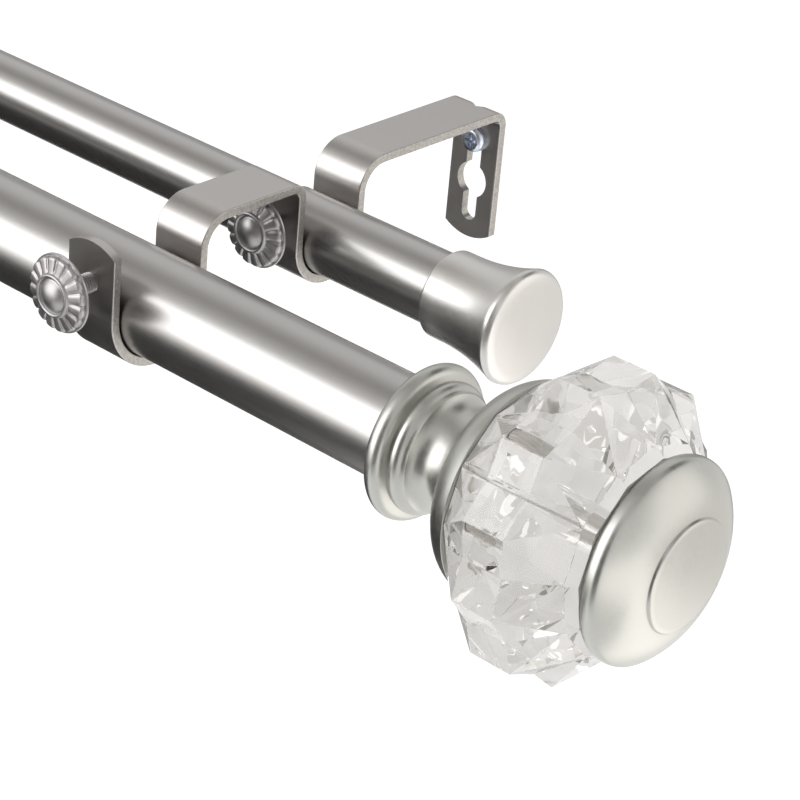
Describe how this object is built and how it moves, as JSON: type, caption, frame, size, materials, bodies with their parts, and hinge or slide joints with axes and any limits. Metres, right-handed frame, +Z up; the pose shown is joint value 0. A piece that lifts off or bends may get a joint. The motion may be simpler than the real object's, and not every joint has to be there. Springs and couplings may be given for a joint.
{
  "type": "double curtain pole",
  "caption": "Double curtain pole: two telescoping tubes on bent strap wall brackets, with faceted clear finials in front and trumpet caps behind.",
  "frame": {"origin": "midway between the two wall screws, on the plane of the wall behind the bracket plates", "axes": "+X along the poles, +Y into the wall, +Z up"},
  "size_m": [0.8354, 0.1671, 0.0702],
  "materials": {
    "tube": "satin nickel, polished along its length",
    "strap": "satin nickel",
    "rosette": "cast, satin nickel",
    "zinc": "bright zinc",
    "finial_metal": "soft satin nickel paint",
    "end_cap": "soft satin nickel paint",
    "crystal": "clear faceted acrylic"
  },
  "bodies": {
    "root": {"front_outer_tube": "tube", "back_outer_tube": "tube", "right_bracket": "strap", "left_bracket": "strap", "right_wall_screw": "zinc", "left_wall_screw": "zinc", "right_finial_collar": "finial_metal", "right_finial_crystal": "crystal", "right_finial_stem": "zinc", "right_finial_cap": "finial_metal", "right_end_cap": "end_cap"},
    "front_extension": {"front_inner_tube": "tube", "left_finial_collar": "finial_metal", "left_finial_crystal": "crystal", "left_finial_stem": "zinc", "left_finial_cap": "finial_metal"},
    "back_extension": {"back_inner_tube": "tube", "left_end_cap": "end_cap"},
    "right_front_screw": {"right_front_thumbscrew": "rosette"},
    "right_back_screw": {"right_back_thumbscrew": "rosette"},
    "left_front_screw": {"left_front_thumbscrew": "rosette"},
    "left_back_screw": {"left_back_thumbscrew": "rosette"}
  },
  "joints": [
    {"name": "front_pole_slide", "type": "slide", "parent": "root", "child": "front_extension", "axis": [-1, 0, 0], "range_m": [-0.06, 0.2]},
    {"name": "back_pole_slide", "type": "slide", "parent": "root", "child": "back_extension", "axis": [-1, 0, 0], "range_m": [-0.025, 0.03]},
    {"name": "right_front_screw_turn", "type": "hinge", "parent": "root", "child": "right_front_screw", "pos_m": [0.25, -0.1505, -0.001], "axis": [0, -1, 0], "range_deg": [0, 540]},
    {"name": "right_back_screw_turn", "type": "hinge", "parent": "root", "child": "right_back_screw", "pos_m": [0.25, -0.0852, -0.0035], "axis": [0, -1, 0], "range_deg": [0, 540]},
    {"name": "left_front_screw_turn", "type": "hinge", "parent": "root", "child": "left_front_screw", "pos_m": [-0.25, -0.1505, -0.001], "axis": [0, -1, 0], "range_deg": [0, 540]},
    {"name": "left_back_screw_turn", "type": "hinge", "parent": "root", "child": "left_back_screw", "pos_m": [-0.25, -0.0852, -0.0035], "axis": [0, -1, 0], "range_deg": [0, 540]}
  ]
}
